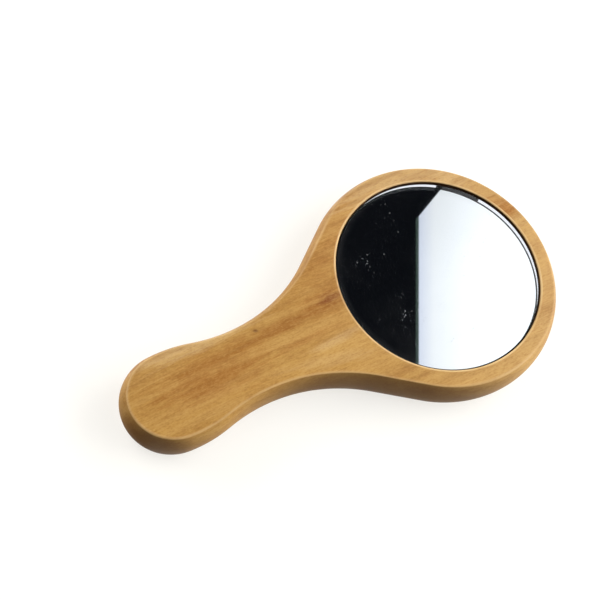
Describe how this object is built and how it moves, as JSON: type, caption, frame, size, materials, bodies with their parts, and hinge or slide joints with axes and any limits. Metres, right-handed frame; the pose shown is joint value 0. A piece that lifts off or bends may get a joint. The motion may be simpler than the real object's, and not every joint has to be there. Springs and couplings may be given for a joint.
{
  "type": "hand mirror",
  "caption": "Wooden hand mirror: flat paddle-shaped board with a waisted handle and a plain round glass let into its head.",
  "frame": {"origin": "on the flat back, under the centre of the round head", "axes": "+Z out of the mirror face, +Y from the handle to the crown of the head, +X to the right seen from the front"},
  "size_m": [0.086, 0.1595, 0.013],
  "materials": {
    "lacquered_wood": "satin lacquer over fine straight grain",
    "clear_glass": "float glass, plain cut edge with a small ground corner",
    "silvering": "mirror silvering",
    "backing_paint": "matt grey protective paint",
    "foam_tape": "matt white foam tape"
  },
  "bodies": {
    "root": {"wooden_body": "lacquered_wood", "mirror_glass": "clear_glass", "silver_layer": "silvering", "backing_paint": "backing_paint", "adhesive_pad": "foam_tape"}
  },
  "joints": []
}
